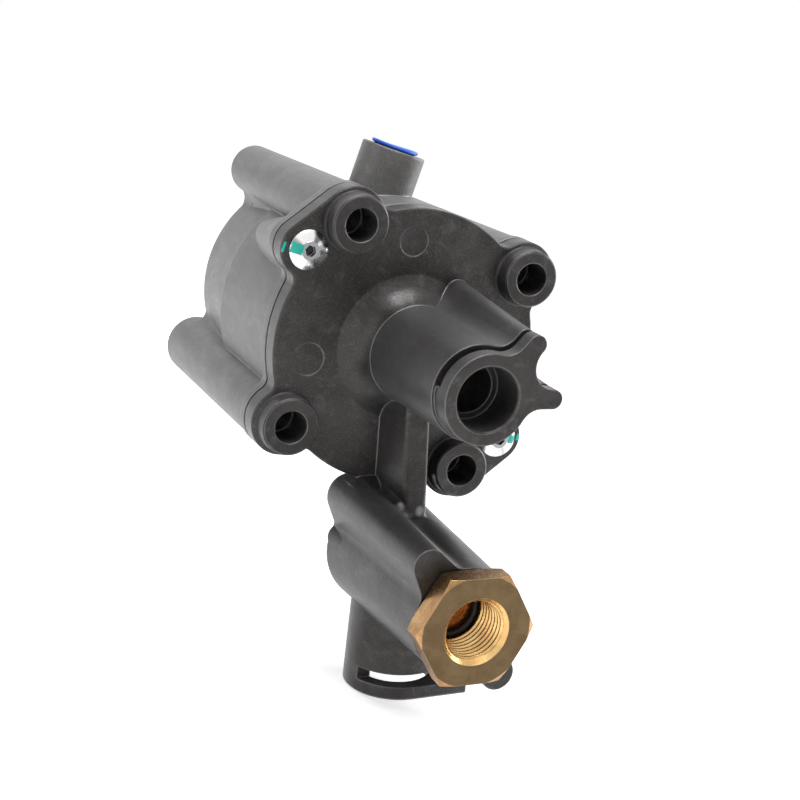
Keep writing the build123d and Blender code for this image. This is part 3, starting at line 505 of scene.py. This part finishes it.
outer, inner = [], []
for i in range(steps + 1):
    angle = math.radians(corner_angle + 360 * i / steps)
    r = hex_reach(angle)
    front_cut = max(r - face_r, 0) * chamfer_slope
    rear_cut = max(r - rear_r, 0) * chamfer_slope
    section = [
        (start_r, thread_start), (mouth_r, HEX_FRONT_Y), (mouth_r + mouth_land, HEX_FRONT_Y),
        (min(r, face_r), HEX_FRONT_Y), (r, HEX_FRONT_Y + front_cut),
        (r, HEX_REAR_Y - rear_cut), (min(r, rear_r), HEX_REAR_Y),
        (spigot_r, HEX_REAR_Y), (spigot_r, adapter_rear_y), (lip_r, adapter_rear_y), (lip_r, lip_y),
        (relief_r, lip_y), (relief_r, thread_end), (crest_r, thread_end),
    ]
    outer.append([on_tube(angle, *point) for point in section])

# One pitch of the thread as (share of the pitch, share of the depth)
flank = [
    (0, 0), (0.25, 0), (0.33, 0.26), (0.41, 0.52), (0.49, 0.78), (0.56, 1),
    (0.68, 1), (0.76, 0.74), (0.84, 0.48), (0.92, 0.22), (1, 0),
]
turns = math.ceil((thread_end - thread_start) / pitch) + 2
for i in range(steps * turns + 1):
    angle = math.radians(corner_angle + 360 * i / steps)
    row = []
    for share, height in flank:
        y = thread_start + pitch * (turns - 1 + share - i / steps)
        fade = min(max((thread_end - y) / run_out, 0), 1)
        cone = mouth_r - (y - HEX_FRONT_Y)
        r = max(crest_r + (root_r - crest_r) * height * fade, cone)
        if y <= thread_start:
            y, r = thread_start, start_r
        if y >= thread_end:
            y, r = thread_end, crest_r
        row.append(on_tube(angle, r, y))
    inner.append(row)

faces = grid_faces(outer) + grid_faces(inner, len(outer) * len(outer[0]))
piece("adapter_brass", flat(outer) + flat(inner), faces, "brass", "supply_adapter", 28)


# Sintered filter at the bottom of the adapter

def ball(centre, r, verts, faces):
    """Low sphere, added to the lists of verts and faces."""
    first, rows, around = len(verts), 5, 8
    for i in range(rows + 1):
        up = math.pi * i / rows
        for j in range(around):
            turn = 2 * math.pi * j / around
            verts.append((
                centre[0] + r * math.sin(up) * math.cos(turn),
                centre[1] - r * math.cos(up),
                centre[2] + r * math.sin(up) * math.sin(turn),
            ))
    for i in range(rows):
        for j in range(around):
            a, b = first + i * around + j, first + i * around + (j + 1) % around
            faces.append((a, b, b + around, a + around))


filter_front, filter_rear, filter_r, filter_steps = -31.18, -27.3, 7.67, 64
grain_reach, grain_r, grain_pitch, grain_set, jitter, sink_most = 5.45, 0.26, 0.44, 0.08, 0.06, 0.1
section = [(0, filter_front), (filter_r, filter_front), (filter_r, filter_rear), (0, filter_rear)]
rows = [
    [on_tube(2 * math.pi * i / filter_steps, *point) for point in section]
    for i in range(filter_steps + 1)
]
verts, faces = flat(rows), grid_faces(rows)
across = math.ceil(grain_reach / grain_pitch)
for row in range(-across - 2, across + 3):
    for column in range(-across, across + 1):
        dx = (column + row % 2 / 2) * grain_pitch + random.uniform(-jitter, jitter)
        dz = row * grain_pitch * math.sqrt(3) / 2 + random.uniform(-jitter, jitter)
        sink = random.uniform(0, sink_most)
        if math.hypot(dx, dz) < grain_reach:
            ball((TUBE_X + dx, filter_front + grain_set + sink, TUBE_Z + dz), grain_r, verts, faces)
piece("filter_grains", verts, faces, "copper_mesh", "inlet_filter", 50)


# Blue plug: a thin flange, dished on top and a little bowed, on a hollow stem

pilot_x, pilot_y, pilot_top = -8.7, 31.5, 45.3
flange_r, bow, bow_from_r, plug_steps = 6.3, 0.3, 5.2, 96
section = [
    (0, 0.5), (2.5, 0.47), (4.2, 0.42), (4.8, 0.5), (5.3, 0.78), (5.8, 0.92), (6.15, 0.88),
    (flange_r, 0.66), (6.28, 0.4), (6.1, 0.14), (5.7, 0.02), (5.17, 0), (5.17, -7), (4.9, -7.7),
    (4.6, -8), (3.9, -8), (4.07, -1.1), (0, -1.1),
]
rows = []
for i in range(plug_steps + 1):
    angle = 2 * math.pi * i / plug_steps
    row = []
    for r, z in section:
        rise = bow * (r * math.cos(angle) / flange_r) ** 2 if z > -0.01 and r > bow_from_r else 0
        row.append((pilot_x + r * math.cos(angle), pilot_y + r * math.sin(angle), pilot_top + z + rise))
    rows.append(row)
piece("pilot_plug", flat(rows), grid_faces(rows), "plug_plastic", "port_plug", 50)


# Springs

SPRING_FIT = 0.034


def coil(node, middle, axis, length, mean_d, wire_d, turns):
    """Spring on an axis through its middle."""
    along = Vector(axis).normalized()
    side = along.orthogonal().normalized()
    other = along.cross(side)
    per_turn, around, end_turns = 36, 12, 0.75
    rise = length - wire_d
    rows = []
    for i in range(turns * per_turn + 1):
        turn = 2 * math.pi * i / per_turn
        share = min(max((i / per_turn - end_turns) / (turns - 2 * end_turns), 0), 1)
        out = side * math.cos(turn) + other * math.sin(turn)
        centre = Vector(middle) + out * mean_d / 2 + along * rise * (share - 0.5)
        rows.append([
            centre + (out * math.cos(a) + along * math.sin(a)) * wire_d / 2
            for a in (2 * math.pi * j / around for j in range(around + 1))
        ])
    made = piece(node + "_coil", flat(rows), grid_faces(rows) + end_caps(rows), "spring_steel", node, 60)
    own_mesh(made)


for node, centre_x, centre_z, mean_d, wire_d, turns, joint, travel in (
    ("return_spring", 0, 0, 32.0, 2.4, 4, "piston_stroke", 6.5),
    ("poppet_spring", TUBE_X, TUBE_Z, 9.4, 1.1, 5, "poppet_lift", 4.0),
):
    low_corner, high_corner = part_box(node)
    middle = (low_corner + high_corner) / 2 / MM
    length = (high_corner.y - low_corner.y) / MM
    coil(node, (centre_x, middle.y, centre_z), (0, 1, 0), length, mean_d, wire_d, turns)

collar_y, collar_reach, collar_angle, collar_space = -2.8, 20.5, math.radians(16.7), 4.2
down = Vector((math.sin(collar_angle), 0, -math.cos(collar_angle)))
collar_middle = Vector((TUBE_X, collar_y, TUBE_Z)) + down * collar_reach
spring_length = collar_space - 2 * SPRING_FIT
coil("exhaust_spring", collar_middle, down, spring_length, 9.0, 0.6, 3)


# Flash line left by the die along the upper lug of the supply tube

lug_reach, lug_angle, lug_r = 18.1, math.radians(141.3), 4.3
tube_front_y, tube_draft = -40.3, 1.9 / 52.9
flash_turn, flash_from, flash_to, flash_steps = math.radians(47.6), -39.9, -13.5, 40
flash_half, flash_end_share, flash_wobble = 0.16, 0.35, 0.012
flash_profile = [(-1, -0.12), (-0.45, 0.07), (0, 0.11), (0.45, 0.07), (1, -0.12), (-1, -0.12)]
cx = TUBE_X + lug_reach * math.cos(lug_angle)
cz = TUBE_Z + lug_reach * math.sin(lug_angle)
rows = []
for i in range(flash_steps + 1):
    y = flash_from + (flash_to - flash_from) * i / flash_steps
    r = lug_r + tube_draft * (y - tube_front_y)
    ends = flash_end_share if i in (0, flash_steps) else 1
    row = []
    for side, height in flash_profile:
        turn = flash_turn + side * flash_half * ends / r
        if height > 0:
            height = height * ends + random.uniform(-flash_wobble, flash_wobble)
        row.append((cx + (r + height) * math.cos(turn), y, cz + (r + height) * math.sin(turn)))
    rows.append(row)
piece("tube_flash_line", flat(rows), grid_faces(rows) + end_caps(rows), "cover_casting", None, 60)


# Floor, whose glow rises with distance so that its far edge meets the white background

floor_mesh = bpy.data.meshes.new("floor")
low = cad_box[0][2]
half = 3.0
floor_mesh.from_pydata(
    [(-half, -half, low), (half, -half, low), (half, half, low), (-half, half, low)], [], [(0, 1, 2, 3)]
)
floor = bpy.data.objects.new("floor", floor_mesh)
bpy.context.scene.collection.objects.link(floor)
f = Shader("floor", (0.86, 0.86, 0.86), 0.0, 0.8)
f.bsdf.inputs["Emission Color"].default_value = (1, 1, 1, 1)
away = f.node("ShaderNodeVectorMath", operation="LENGTH")
f.plug(away.inputs[0], f.place)
glow = f.ramp(away.outputs["Value"], 0.15, 0.7, 0.64, 0.83)
f.plug(f.bsdf.inputs["Emission Strength"], f.math("MULTIPLY", seen_directly(f.tree), glow))
floor_mesh.materials.append(f.material)


# World, dim as a light and white where it is seen, and lamps

LIT_STRENGTH, SEEN_STRENGTH = 0.22, 1.0
LAMP_AIM = Vector((0, 0, -0.02))
world = bpy.data.worlds.new("world")
bpy.context.scene.world = world
world.use_nodes = True
tree = world.node_tree
lit = tree.nodes["Background"]
shown = tree.nodes.new("ShaderNodeBackground")
for background, strength in ((lit, LIT_STRENGTH), (shown, SEEN_STRENGTH)):
    background.inputs[0].default_value = (1, 1, 1, 1)
    background.inputs[1].default_value = strength
join = tree.nodes.new("ShaderNodeMixShader")
tree.links.new(seen_directly(tree), join.inputs[0])
tree.links.new(lit.outputs[0], join.inputs[1])
tree.links.new(shown.outputs[0], join.inputs[2])
tree.links.new(join.outputs[0], tree.nodes["World Output"].inputs[0])


def lamp(name, at, size, power):
    """Square area lamp, turned to the middle of the part."""
    light = bpy.data.lights.new(name, "AREA")
    light.shape = "RECTANGLE"
    light.size = light.size_y = size
    light.energy = power
    made = bpy.data.objects.new(name, light)
    bpy.context.scene.collection.objects.link(made)
    made.location = at
    made.rotation_euler = (LAMP_AIM - Vector(at)).to_track_quat("-Z", "Y").to_euler()


lamp("key", (-0.2, -0.1, 0.8), 0.55, 7)
lamp("side", (-0.8, 0.1, 0.1), 0.6, 1.1)
lamp("far", (0.75, 0.04, 0.3), 0.5, 4.5)
